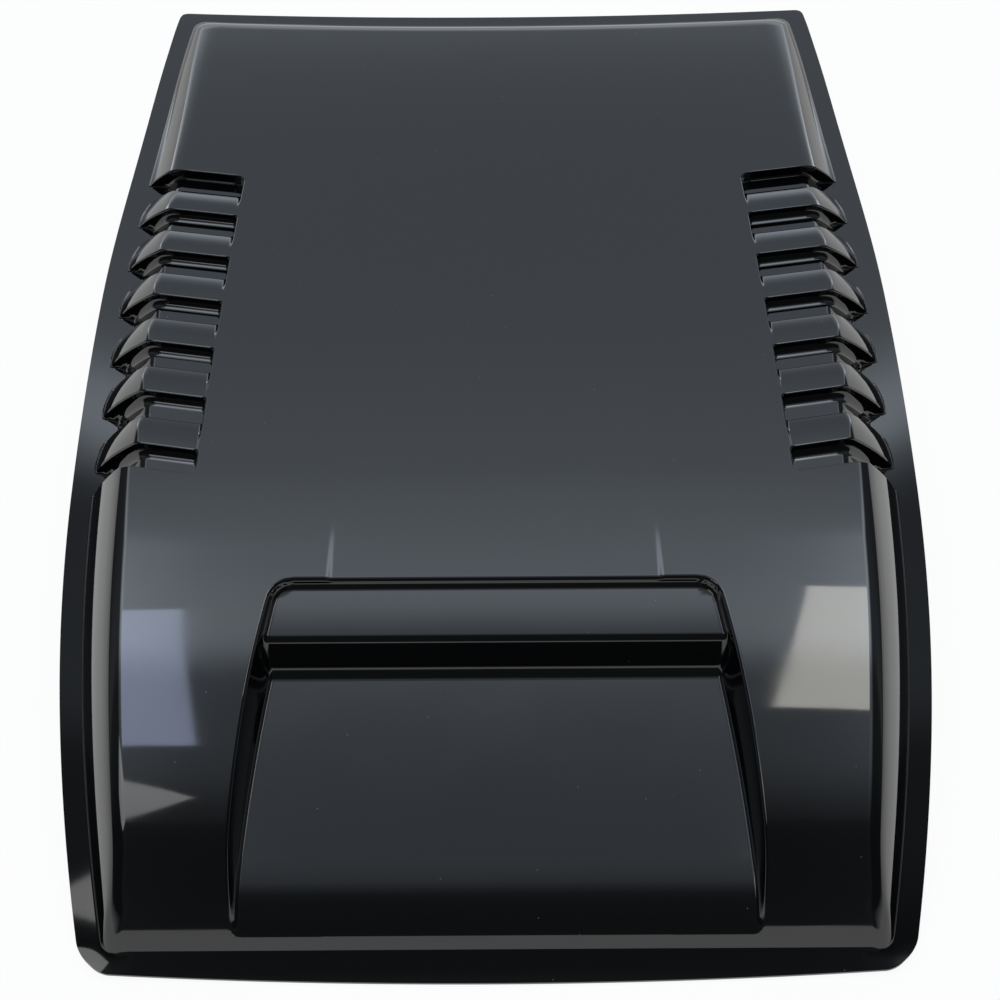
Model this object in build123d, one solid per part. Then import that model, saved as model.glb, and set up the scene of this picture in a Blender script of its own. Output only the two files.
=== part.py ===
from build123d import *
import math
import os

os.makedirs("parts", exist_ok=True)

# Bonnet scoop, one vacuum-formed sheet. Millimetres, +Z up, front edge towards -Y.
# A station is a distance measured rearward from the middle of the front edge.
overall_length = 1051.0
overall_width = 712.0
sheet = 3.0

# Bonding flange: bent to the bonnet in side view by two arcs, barrel-shaped in plan
crest_station = 462.0
main_radius = 2770.0
nose_station = 295.0
nose_radius = 1112.0
widest_station = 410.0
rear_side_radius = 5800.0
front_side_radius = 2050.0
front_edge_bow = 9.0
rear_edge_bow = 11.0
flange_width = 18.5
corner_radius = 14.0

# Raised body: height above the flange, lean of the walls, rounding of the folds
shoulder_station = 390.0
shoulder_rise = 57.0
rear_rise = 7.0
front_fall_radius = 1500.0
brow_station = 95.0
brow_radius = 92.0
front_lean = 0.50
rear_lean = 1.00
front_foot = 20.0
front_wall_angle = 62.0
rear_foot = 16.0
rear_wall_angle = 50.0
fold_radius = 13.0
nose_edge_radius = 14.0
rear_edge_radius = 4.0
foot_radius = 4.0

# Middle panel between the two crease lines
crease_front_half = 133.0
crease_rear_half = 119.0
crease_front_step = 4.2
crease_rear_step = 0.3
crease_fade = 5
crease_slope = 4.0

# Intake recess: rear step, lip roof, back wall, ramp
intake_station = 286.5
intake_rear_half = 174.0
intake_mid_half = 199.0
intake_front_half = 216.0
intake_corner_radius = 14.0
intake_draft = 8.5
lip_length = 46.0
lip_step = 8.0
lip_front_step = 11.0
lip_nose_radius = 5.5
back_wall_draft = 20.0
ramp_angle = 9.6
ramp_bend_station = 80.0
ramp_bend_height = 46.5
ramp_bend_radius = 133.0
ramp_rear_radius = 6.0
recess_floor_radius = 5.0

# Louvre banks
louvre_count = 7
louvre_station = 764.0
louvre_pitch = 57.0
louvre_sweep = 9.7
louvre_fold_half = 300.0
trench_length = 24.0
trench_depth = 11.5
trench_side_inset = 16.0
blade_drop = 6.0
blade_front_drop = 0.5
blade_side_inset = 6.0
bank_rear_half = 229.5
bank_front_half = 244.0
bank_corner_radius = 9.0
blade_fold_radius = 9.0
trench_fold_radius = 5.0

half_length = overall_length / 2
far = overall_width


def y_at(station):
    """Y coordinate of a station."""
    return station - half_length


turn = math.asin((crest_station - nose_station) / main_radius)
nose_centre = nose_station + nose_radius * math.sin(turn)
centre_gap = main_radius - nose_radius


def arc_height(station, above):
    """Height of the surface that lies `above` the underside of the flange, measured square to it."""
    lift = centre_gap * math.cos(turn)
    floor = lift + math.sqrt(nose_radius ** 2 - nose_centre ** 2)
    if station >= crest_station - (main_radius + above) * math.sin(turn):
        return math.sqrt((main_radius + above) ** 2 - (station - crest_station) ** 2) - floor
    return lift + math.sqrt((nose_radius + above) ** 2 - (station - nose_centre) ** 2) - floor


def rise(station):
    """Height of the body's top above the flange."""
    fall = (shoulder_rise - rear_rise) / (overall_length - shoulder_station)
    height = shoulder_rise - fall * (station - shoulder_station)
    height -= max(shoulder_station - station, 0.0) ** 2 / (2 * front_fall_radius)
    return height - max(brow_station - station, 0.0) ** 2 / (2 * brow_radius)


def top_height(station):
    return arc_height(station, sheet) + rise(station)


def flange_half(station):
    """Half width of the flange outline."""
    reach = station - widest_station
    bend = rear_side_radius if reach > 0 else front_side_radius
    return overall_width / 2 - reach ** 2 / (2 * bend)


def foot_half(station):
    """Half width of the line where the body's wall meets the flange."""
    return flange_half(station) - flange_width


def lean(station):
    """Sideways run of the wall for each unit of its height."""
    share = max(station - brow_station, 0.0) / (overall_length - brow_station)
    return front_lean + rear_lean * share ** 2


def fold_half(station):
    return foot_half(station) - lean(station) * rise(station)


def spread(first, last, count):
    return [first + (last - first) * i / (count - 1) for i in range(count)]


def side_arcs(above, first, last):
    """Edges of a flange-parallel line in side view, from station `first` to station `last`."""
    join = crest_station - (main_radius + above) * math.sin(turn)
    edges = []
    for a, b in ((first, join), (join, last)):
        mid = (a + b) / 2
        edges.append(ThreePointArc(*[(y_at(s), arc_height(s, above)) for s in (a, mid, b)]))
    return edges


def side_face(edges, corners=(), radii=()):
    """Closed face in the side-view plane, rounded at the named corners."""
    face = make_face(Curve() + edges)
    for corner, radius in zip(corners, radii):
        face = fillet(face.vertices().sort_by_distance(corner)[:1], radius)
    return Plane.YZ * face


def across(face, half):
    """Solid made by running a side-view face across the width."""
    return extrude(face, half, both=True)


def flange_band(low, high, front, rear):
    lower, upper = side_arcs(low, front, rear), side_arcs(high, front, rear)
    ends = [Line(lower[0] @ 0, upper[0] @ 0), Line(lower[1] @ 1, upper[1] @ 1)]
    return across(side_face(lower + upper + ends), far)


def outline_face():
    """Plan outline of the flange."""
    rear, front = overall_length, front_edge_bow
    sides = []
    for sign in (1, -1):
        for a, b in ((front, widest_station), (widest_station, rear)):
            mid = (a + b) / 2
            sides.append(ThreePointArc(*[(sign * flange_half(s), y_at(s)) for s in (a, mid, b)]))
    ends = []
    for station, middle in ((front, 0.0), (rear, rear - rear_edge_bow)):
        half = flange_half(station)
        ends.append(ThreePointArc((-half, y_at(station)), (0, y_at(middle)), (half, y_at(station))))
    face = make_face(Curve() + sides + ends)
    corners = [v for v in face.vertices() if abs(v.Y - y_at(widest_station)) > 50]
    return fillet(corners, corner_radius)


# The rounded rear corners end a little ahead of the last station: the origin is midway along what is left
half_length = (half_length + outline_face().bounding_box().max.Y) / 2


def wall_start(base):
    """Station where the sloping front wall, run up from `base`, reaches the top line."""
    slope = math.tan(math.radians(front_wall_angle))
    low, high = base, brow_station
    for _ in range(50):
        mid = (low + high) / 2
        if arc_height(base, sheet) + (mid - base) * slope < top_height(mid):
            low = mid
        else:
            high = mid
    return low


def inward(station, depth):
    """Side-view point `depth` under the top line, square to it."""
    slope = (top_height(station + 0.5) - top_height(station - 0.5))
    size = math.hypot(1, slope)
    return (y_at(station) + depth * slope / size, top_height(station) - depth / size)


def body_block(depth):
    """Side form of the body across the full width, `depth` inside the outer surface."""
    start = wall_start(front_foot)
    brow = (start + brow_station) / 2
    arc = lambda a, b: ThreePointArc(*[inward(s, depth) for s in spread(a, b, 3)])
    front, middle, rear = arc(start, brow), arc(nose_station, shoulder_station), arc(shoulder_station, overall_length)
    stations = [brow, brow_station, (brow_station + nose_station) / 2, nose_station]
    fall = Spline(*[inward(s, depth) for s in stations], tangents=(front % 1, middle % 0))
    top = [front, fall, middle, rear]
    bottom = 0.5 * sheet if depth == 0 else -4 * sheet
    slope = math.radians(front_wall_angle)
    shift = depth / math.sin(slope)
    drop = sheet - bottom
    toe = front_foot + shift - drop / math.tan(slope)
    foot = (y_at(toe), arc_height(toe, bottom))
    under = side_arcs(bottom, toe, overall_length)
    edges = top + under + [Line(top[0] @ 0, foot), Line(top[-1] @ 1, under[1] @ 1)]
    return across(side_face(edges, [top[0] @ 0], [nose_edge_radius - depth]), far)


def wall_prism(depth):
    """Solid between the two leaning side walls, taller than the body."""
    sections = []
    for s in spread(-30, overall_length + 30, 7):
        run = lean(s)
        shift = depth * math.hypot(1, run)
        base = arc_height(s, sheet)
        low, high = base - 6 * sheet, base + 1.5 * shoulder_rise
        half_low = foot_half(s) - shift + run * (base - low)
        half_high = foot_half(s) - shift - run * (high - base)
        points = [(-half_low, low), (half_low, low), (half_high, high), (-half_high, high)]
        plane = Plane(origin=(0, y_at(s), 0), x_dir=(1, 0, 0), z_dir=(0, -1, 0))
        sections.append(plane * make_face(Polyline(*points, close=True)))
    return loft(sections)


def rear_cut(depth):
    """What lies behind the sloping, bowed rear wall."""
    rear = overall_length - rear_foot
    half = overall_width
    bow = rear_edge_bow * (half / flange_half(overall_length)) ** 2
    run = depth / math.sin(math.radians(rear_wall_angle))
    line = rear - run
    arc = ThreePointArc((-half, y_at(line - rear_edge_bow + bow)), (0, y_at(line - rear_edge_bow)),
                        (half, y_at(line - rear_edge_bow + bow)))
    box = Polyline((half, y_at(line - rear_edge_bow + bow)), (half, y_at(rear + 200)),
                   (-half, y_at(rear + 200)), (-half, y_at(line - rear_edge_bow + bow)))
    face = make_face(Curve() + [arc, box])
    height = 2 * shoulder_rise
    level = arc_height(rear, sheet)
    up = extrude(Pos(0, 0, level) * face, height, taper=-(90 - rear_wall_angle))
    down = extrude(Pos(0, 0, level) * face, 8 * sheet, dir=(0, 0, -1), taper=90 - rear_wall_angle)
    return up + down


def raised_body(depth):
    return (body_block(depth) & wall_prism(depth)) - rear_cut(depth)


def fold_edges(body):
    """Edges between the side walls and the faces that run across the body."""
    walls = [f for f in body.faces() if abs(f.center().X) > overall_width / 4]
    chosen = []
    for wall in walls:
        for edge in wall.edges():
            p = edge.center()
            station = p.Y + half_length
            if p.Z > arc_height(station, 2 * sheet) and station < overall_length - 2 * rear_foot:
                chosen.append(edge)
    return chosen


def crease_cut(depth):
    """What lies above the sunk middle panel, between the crease lines."""
    sections = []
    for s in spread(intake_station - lip_length / 2, overall_length + 20, 7):
        share = (s - intake_station) / (overall_length - intake_station)
        half = crease_front_half + (crease_rear_half - crease_front_half) * share
        step = crease_rear_step + (crease_front_step - crease_rear_step) * (1 - share) ** crease_fade
        z = top_height(s) - depth
        foot, brim = half - crease_slope, half + crease_slope * 10 / step
        points = [(-foot, z - step), (foot, z - step), (brim, z + 10), (-brim, z + 10)]
        plane = Plane(origin=(0, y_at(s), 0), x_dir=(1, 0, 0), z_dir=(0, -1, 0))
        sections.append(plane * make_face(Polyline(*points, close=True)))
    return loft(sections)


def ramp_height(station):
    """Height of the intake's ramp: straight, then bent down to the front wall."""
    reach = station - ramp_bend_station
    bend = max(-reach, 0.0) ** 2 / (2 * ramp_bend_radius)
    return ramp_bend_height + reach * math.tan(math.radians(ramp_angle)) - bend


def roof_height(station):
    """Height of the lip's roof."""
    share = (intake_station - station) / lip_length
    return top_height(station) - lip_step - (lip_front_step - lip_step) * share


def intake_profile(out):
    """Side form of the recess across the full width, `out` below its surface."""
    sky = 2 * top_height(intake_station)
    tilt = math.tan(math.radians(back_wall_draft))
    brink = intake_station - lip_length
    brink += out / math.cos(math.radians(back_wall_draft)) - out * tilt
    roof = [(s, roof_height(s) - out) for s in spread(intake_station + lip_length, brink, 3)]
    edge = roof[-1]
    toe = brink
    for _ in range(20):
        toe = brink - (edge[1] - ramp_height(toe) + out) * tilt
    ramp = [(s, ramp_height(s) - out) for s in (toe, ramp_bend_station)]
    nose = [(s, ramp_height(s) - out) for s in spread(ramp_bend_station, -20, 5)]
    to_plane = lambda points: [(y_at(s), z) for s, z in points]
    roof, ramp, nose = to_plane(roof), to_plane(ramp), to_plane(nose)
    lines = Polyline(nose[-1], (nose[-1][0], sky), (roof[0][0], sky), roof[0])
    slope = Line(*ramp)
    run = (nose[-1][0] - nose[-2][0], nose[-1][1] - nose[-2][1])
    edges = [ThreePointArc(*roof), Line(roof[-1], ramp[0]), slope, Spline(*nose, tangents=(slope % 1, run)), lines]
    corners, radii = [roof[-1], ramp[0]], [lip_nose_radius - out, ramp_rear_radius + out]
    return across(side_face(edges, corners, radii), far)


def intake_prism(out):
    """Plan form of the recess with drafted sides."""
    brim = top_height(intake_station)
    faces = []
    for level, radius in ((brim + 20, intake_corner_radius), (0, intake_corner_radius / 3)):
        grow = out + (level - brim) * math.tan(math.radians(intake_draft))
        rear = intake_station + grow
        sides = []
        for sign in (1, -1):
            sides.append(ThreePointArc((sign * (intake_rear_half + grow), y_at(rear)),
                                       (sign * (intake_mid_half + grow), y_at(intake_station * 0.55)),
                                       (sign * (intake_front_half + grow), y_at(-30))))
        ends = [Line(sides[0] @ 0, sides[1] @ 0), Line(sides[0] @ 1, sides[1] @ 1)]
        face = make_face(Curve() + sides + ends)
        faces.append(Pos(0, 0, level) * fillet(face.vertices().sort_by(Axis.Y)[-2:], radius + out))
    return loft(faces, ruled=True)


def intake_cut(out, radius):
    cut = intake_profile(out) & intake_prism(out)
    box = cut.bounding_box()
    chosen = []
    for edge in cut.edges():
        p, along = edge.center(), edge.tangent_at(0.5)
        station = p.Y + half_length
        upright = abs(along.Z) > 0.9 and station > intake_station - lip_length / 2
        if p.Z < box.max.Z - 5 and p.Y > box.min.Y + 1 and not upright:
            if abs(p.X) > intake_rear_half / 2 or station > intake_station - 2:
                chosen.append(edge)
    return fillet(chosen, radius)


def bank_half(offset):
    """Half width of the louvres' inner ends, `offset` ahead of the first step."""
    share = offset / ((louvre_count - 1) * louvre_pitch + trench_length)
    return bank_rear_half + (bank_front_half - bank_rear_half) * share


sweep = math.radians(louvre_sweep)
bank_length = (louvre_count - 1) * louvre_pitch + trench_length


def bank_face(offset, drop, inset, depth, radius, seat):
    """Upright swept section of a louvre, sunk by `drop`, drawn in by `inset`, let into the body by `seat`."""
    ref = louvre_station - offset
    at = lambda x: ref + (x - louvre_fold_half) * math.tan(sweep)
    run = lean(ref)
    base = sheet * (0.8 - 0.03 * seat) if depth == 0 else -0.5 * seat * sheet
    inner = bank_half(offset) - seat
    foot = foot_half(ref) - inset - depth * math.hypot(1, run)
    fold = foot - run * (rise(ref) - drop - depth)
    low = foot + run * (sheet - base)
    points = [(inner, arc_height(at(inner), base)), (low, arc_height(at(low), base)),
              (fold, top_height(at(fold)) - drop - depth), (inner, top_height(at(inner)) - drop - depth)]
    local = [((x - louvre_fold_half) / math.cos(sweep), z) for x, z in points]
    face = make_face(Polyline(*local, close=True))
    corner = face.vertices().sort_by_distance(local[2])[:1]
    plane = Plane(origin=(louvre_fold_half, y_at(ref), 0), x_dir=(math.cos(sweep), math.sin(sweep), 0),
                  z_dir=(math.sin(sweep), -math.cos(sweep), 0))
    return plane * (fillet(corner, radius) if depth == 0 else chamfer(corner, (radius - depth) / 3))


def bank_solid(depth):
    """Trench floor and blades of one bank."""
    middle = (trench_length + louvre_pitch) / 2
    ends = [-6 - depth] + [k * louvre_pitch + middle for k in range(louvre_count - 1)] + [bank_length + 6 + depth]
    floor = [bank_face(o, trench_depth, trench_side_inset, depth, trench_fold_radius, 8) for o in ends]
    bank = loft(floor, ruled=True)
    for k in range(louvre_count - 1):
        rear, front = k * louvre_pitch + trench_length, (k + 1) * louvre_pitch
        sections = []
        for o in spread(rear + depth, front - depth, 4 if depth == 0 else 3):
            share = ((front - o) / (front - rear)) ** 2
            drop = blade_front_drop + (blade_drop - blade_front_drop) * share
            sections.append(bank_face(o, drop, blade_side_inset * share, depth, blade_fold_radius, 5))
        bank += loft(sections, ruled=True)
    return bank


def bank_gap(depth):
    """Plan prism that the bank takes the place of."""
    points = []
    for offset, outer in ((-depth, False), (-depth, True), (bank_length + depth, True), (bank_length + depth, False)):
        x = overall_width if outer else bank_half(offset) - depth
        points.append((x, y_at(louvre_station - offset) + (x - louvre_fold_half) * math.tan(sweep)))
    face = make_face(Polyline(*points, close=True))
    face = fillet(face.vertices().sort_by(Axis.X)[:2], bank_corner_radius + depth)
    return extrude(Pos(0, 0, -60) * face, 400)


def round_rear(body, radius):
    """Round the upper rim of the rear wall."""
    limit = overall_length - 2 * rear_foot - rear_edge_bow
    chosen = []
    for face in body.faces():
        p = face.center()
        if p.Y + half_length > limit and face.normal_at(p).Y > 0.3:
            chosen += [e for e in face.edges() if (e @ 0.5).Z > arc_height((e @ 0.5).Y + half_length, sheet)]
    return fillet(chosen, radius)


def round_foot(skin, radius):
    """Round the hollow edge where the body's walls meet the flange."""
    chosen = []
    for edge in skin.edges():
        spots = [edge @ u for u in (0.02, 0.5, 0.98)]
        on_top = all(abs(p.Z - arc_height(p.Y + half_length, sheet)) < 0.05 for p in spots)
        within = all(abs(p.X) < foot_half(p.Y + half_length) + flange_width / 3 for p in spots)
        between = all(front_foot / 2 < p.Y + half_length < overall_length - rear_foot / 2 for p in spots)
        if on_top and within and between:
            chosen.append(edge)
    return fillet(chosen, radius)


def with_banks(body, depth):
    """Body with both louvre banks set in; outside, the flange under them stays."""
    gap, bank = bank_gap(depth), bank_solid(depth)
    if depth == 0:
        gap = gap & flange_band(sheet, 3 * shoulder_rise, -12, overall_length + 12)
    return body - gap - mirror(gap, Plane.YZ) + bank + mirror(bank, Plane.YZ)


def scoop():
    prism = extrude(outline_face(), 3 * shoulder_rise, both=True)
    flange = flange_band(0, sheet, -12, overall_length + 12) & prism
    outer = raised_body(0)
    outer = round_rear(fillet(fold_edges(outer), fold_radius), rear_edge_radius)
    outer = outer - crease_cut(0) - intake_cut(0, recess_floor_radius)
    skin = with_banks(round_foot(flange + outer, foot_radius), 0)
    inner = raised_body(sheet)
    inner = chamfer(fold_edges(inner), (fold_radius - sheet) / 3)
    inner = inner - crease_cut(sheet) - (intake_profile(sheet) & intake_prism(sheet))
    return skin - with_banks(inner, sheet)


moulding = scoop()
moulding.label = "scoop_moulding"
export_step(moulding, "parts/scoop_moulding.step")
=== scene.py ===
"""Bonnet scoop: one vacuum-formed sheet of gloss black plastic on a pale studio floor.

Sizes are in millimetres until a mesh is written. A station is a distance measured rearward from the
middle of the front edge, and x is measured sideways from the middle plane.
"""

from __future__ import annotations

import logging
import math
from collections.abc import Callable
from dataclasses import astuple, dataclass, field
from enum import Enum

import bpy
import numpy as np
from bpy.types import Material, Mesh, Node, NodeSocket, NodeTree, Object, World
from mathutils import Euler, Matrix, Vector

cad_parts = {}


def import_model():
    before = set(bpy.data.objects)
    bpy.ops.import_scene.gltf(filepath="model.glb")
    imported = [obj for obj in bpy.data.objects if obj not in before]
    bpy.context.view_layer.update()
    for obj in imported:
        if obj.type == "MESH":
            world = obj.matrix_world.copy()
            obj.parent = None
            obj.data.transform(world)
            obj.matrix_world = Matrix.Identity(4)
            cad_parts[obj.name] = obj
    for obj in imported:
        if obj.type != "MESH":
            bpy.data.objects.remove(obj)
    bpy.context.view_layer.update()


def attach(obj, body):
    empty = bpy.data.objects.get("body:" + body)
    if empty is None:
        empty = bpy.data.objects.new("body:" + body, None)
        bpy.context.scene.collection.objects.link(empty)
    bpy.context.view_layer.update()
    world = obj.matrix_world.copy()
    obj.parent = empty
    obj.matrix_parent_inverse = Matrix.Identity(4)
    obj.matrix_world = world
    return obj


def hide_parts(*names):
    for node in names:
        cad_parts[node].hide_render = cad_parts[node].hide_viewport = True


LOG = logging.getLogger("bonnet_scoop")
METRE = 0.001
FAR = 1e3
FULL_SWEEP = 0.99
SKIN_HALVINGS = 36
FLOOR_HALVINGS = 40
TOE_ROUNDS = 20
OUTLINE_ROUNDS = 3

Array = np.ndarray
Triple = tuple[float, float, float]
Colour = tuple[float, float, float, float]

# Mesh rows from front to rear: stations, the first six with their share of the front bow, or distances from
# a feature's own station, or shares of a length
FRONT_FLANGE_ROWS = ((0.0, 1.0), (0.6, 1.0), (4.0, 0.8), (8.0, 0.55), (12.0, 0.3), (15.5, 0.1))
FRONT_ROWS = (
    17.4, 18.3, 19.1, 19.9, 20.8, 21.8, 22.9, 24.1, 25.3, 26.5, 27.7, 28.9, 30.3, 32.0, 34.0, 36.5, 39.2, 42.2, 45.7,
    50.0, 55.0, 60.0, 65.5, 71.0, 77.0, 83.0, 90.0, 98.0, 108.0, 119.0, 131.0, 144.0, 157.0, 170.0, 183.0, 195.0, 205.0,
)
TOE_ROWS = (-20.0, -13.0, -9.0, -6.6, -5.0, -3.8, -2.8, -2.0, -1.3, -0.7, -0.1, 0.8, 2.2, 3.8)
BRINK_ROWS = (-1.2, -0.6, -0.1, 0.4, 1.0, 1.8, 2.8, 4.2, 6.5, 12.0, 20.0, 28.0, 34.0)
RIM_ROWS = (-7.6, -5.9, -4.6, -3.6, -2.7, -2.0, -1.4, -0.95, -0.6, -0.2, 0.3, 0.9, 1.7, 2.8, 4.2)
BRIDGE_ROWS = (295.5, 303.0, 312.0, 323.0, 335.0, 348.0, 360.0, 370.0, 377.5)
REAR_ROWS = (
    762.0, 775.0, 792.0, 812.0, 834.0, 857.0, 881.0, 905.0, 928.0, 950.0, 970.0, 987.0, 1000.0, 1010.0, 1016.0, 1020.0,
    1022.6, 1024.6, 1026.2, 1027.5, 1028.7, 1029.9, 1031.2, 1032.6, 1033.9, 1035.2, 1036.6, 1038.2, 1041.5, 1045.5,
    1048.8, 1050.4, 1051.0,
)
STEP_ROWS = (-1.9, -0.95, -0.35, -0.03, 0.03, 0.5, 1.3, 2.4, 3.8)
RISER_ROWS = (-3.8, -2.4, -1.3, -0.5, -0.03, 0.03, 0.35, 0.95, 1.9)
TRENCH_SHARES = (0.64, 0.36)
BLADE_SHARES = (0.2, 0.4, 0.6, 0.8)

# Mesh columns on one side: shares of a width, or distances from a feature's own line
PANEL_SHARES = (0.0, 0.17, 0.34, 0.51, 0.68, 0.84)
CREASE_SHARES = (-1.05, -0.75, -0.62, -0.5, -0.37, -0.25, -0.12, 0.0, 0.12, 0.25, 0.4)
RECESS_FLOOR_COLUMNS = (-7.5, -5.2, -3.4, -2.0, -1.0, -0.35)
RECESS_RIM_COLUMNS = (-0.12, 0.12, 0.55, 1.2, 2.1, 3.4)
LOUVRE_END_COLUMNS = (-2.2, -1.1, -0.4, -0.03, 0.03, 0.6, 1.5, 2.7, 4.2)
FOLD_COLUMNS = (-9.5, -7.0, -4.8, -2.8, -1.0)
WALL_COLUMNS = (0.6, 2.0, 3.6)
TOE_SHARES = (0.0, 0.35, 0.7)
FOOT_COLUMNS = (0.3, 1.4, 2.8)


def outer_round(a: Array, b: Array, reach: float) -> Array:
    """Join two distance fields, negative inside, as an intersection with its standing edge rounded over a reach."""
    corner = np.hypot(np.maximum(a + reach, 0.0), np.maximum(b + reach, 0.0))
    return np.minimum(np.maximum(a, b), -reach) + corner


def hollow_round(a: Array, b: Array, reach: float) -> Array:
    """Join two distance fields, negative inside, as a union with its hollow edge rounded over a reach."""
    corner = np.hypot(np.maximum(reach - a, 0.0), np.maximum(reach - b, 0.0))
    return np.maximum(np.minimum(a, b), reach) - corner


def smooth_step(value: Array) -> Array:
    """Ease from 0 to 1 with level ends."""
    t = np.clip(value, 0.0, 1.0)
    return t * t * (3.0 - 2.0 * t)


def blend(first: Array, last: Array, share: Array) -> Array:
    """Value at a share of the way between two others."""
    return first + (last - first) * share


def eased(station: float, start: float, run: float) -> float:
    """Ease from 0 at a start to 1 a run further on."""
    return float(smooth_step(np.array((station - start) / run)))


def slope_of(line: Callable[[Array], Array], station: Array) -> Array:
    """Rise of a side-view line for each unit of station."""
    return line(station + 0.5) - line(station - 0.5)


def halve(under: Callable[[Array], Array], low: Array, high: Array, rounds: int) -> Array:
    """Find the heights of a surface by halving a span.

    Args:
        under: Test that is true for heights under the surface.
        low: Heights under it.
        high: Heights over it.
        rounds: How often the span is halved.

    Returns:
        Heights of the surface.
    """
    for _ in range(rounds):
        mid = (low + high) / 2
        below = under(mid)
        low, high = np.where(below, mid, low), np.where(below, high, mid)
    return (low + high) / 2


def add_node(tree: NodeTree, kind: str, inputs: dict[str | int, object], **settings: object) -> Node:
    """Add a node to a tree.

    Args:
        tree: Node tree to add to.
        kind: Type of the node.
        inputs: Sockets to link, or values to set, by input.
        settings: Properties of the node, which are set first.

    Returns:
        The node.
    """
    node = tree.nodes.new(kind)
    for name, value in settings.items():
        setattr(node, name, value)
    for place, value in inputs.items():
        if isinstance(value, NodeSocket):
            tree.links.new(value, node.inputs[place])
        else:
            node.inputs[place].default_value = value
    return node


def math_node(tree: NodeTree, operation: str, *inputs: NodeSocket | float) -> NodeSocket:
    """Add a math node to a tree and give its result."""
    return add_node(tree, "ShaderNodeMath", dict(enumerate(inputs)), operation=operation).outputs["Value"]


def add_object(name: str, data: bpy.types.ID) -> Object:
    """Make an object of some data and link it to the scene."""
    made = bpy.data.objects.new(name, data)
    bpy.context.scene.collection.objects.link(made)
    return made


def aimed(look: Vector, turn: float) -> Euler:
    """Rotation of a lamp or camera that looks along a line and is turned about it, in degrees."""
    return (look.to_track_quat("-Z", "Y").to_matrix() @ Matrix.Rotation(math.radians(turn), 3, "Z")).to_euler()


def fetch(items: bpy.types.bpy_prop_collection, name: str, width: int = 1, kind: type = np.float64) -> Array:
    """Read one property of all items of a collection.

    Args:
        items: Collection to read.
        name: Name of the property.
        width: Numbers in each item's property.
        kind: Type of the numbers.

    Returns:
        The numbers, in rows where an item has several.
    """
    values = np.zeros(len(items) * width, kind)
    items.foreach_get(name, values)
    return values.reshape(-1, width) if width > 1 else values


@dataclass(frozen=True)
class BonnetLine:
    """Side-view line of the bonnet that the flange is bent to: two tangent arcs."""

    crest_station: float = 462.0
    main_radius: float = 2770.0
    nose_station: float = 295.0
    nose_radius: float = 1112.0
    sheet: float = 3.0

    @property
    def turn(self) -> float:
        """Angle at which the two arcs meet."""
        return math.asin((self.crest_station - self.nose_station) / self.main_radius)

    @property
    def nose_centre(self) -> float:
        """Station of the nose arc's centre."""
        return self.nose_station + self.nose_radius * math.sin(self.turn)

    @property
    def lift(self) -> float:
        """Height of the nose arc's centre over the main arc's centre."""
        return (self.main_radius - self.nose_radius) * math.cos(self.turn)

    @property
    def sink(self) -> float:
        """Depth of the main arc's centre under the front edge."""
        return self.lift + math.sqrt(self.nose_radius**2 - self.nose_centre**2)

    def height(self, station: Array, above: float) -> Array:
        """Height of the surface that lies above the flange's underside.

        Args:
            station: Stations.
            above: Distance from the underside, square to it.

        Returns:
            Heights over the front edge.
        """
        main, nose = self.main_radius + above, self.nose_radius + above
        on_main = station >= self.crest_station - main * math.sin(self.turn)
        far = np.sqrt(main**2 - (station - self.crest_station) ** 2) - self.sink
        near = self.lift - self.sink + np.sqrt(nose**2 - (station - self.nose_centre) ** 2)
        return np.where(on_main, far, near)

    def gap(self, station: Array, z: Array) -> Array:
        """Distance of points above the flange's underside.

        Args:
            station: Stations of the points.
            z: Heights of the points.

        Returns:
            Signed distances.
        """
        main = np.hypot(station - self.crest_station, z + self.sink) - self.main_radius
        nose = np.hypot(station - self.nose_centre, z + self.sink - self.lift) - self.nose_radius
        on_main = station >= self.crest_station - (z + self.sink) * math.tan(self.turn)
        return np.where(on_main, main, nose)


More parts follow.
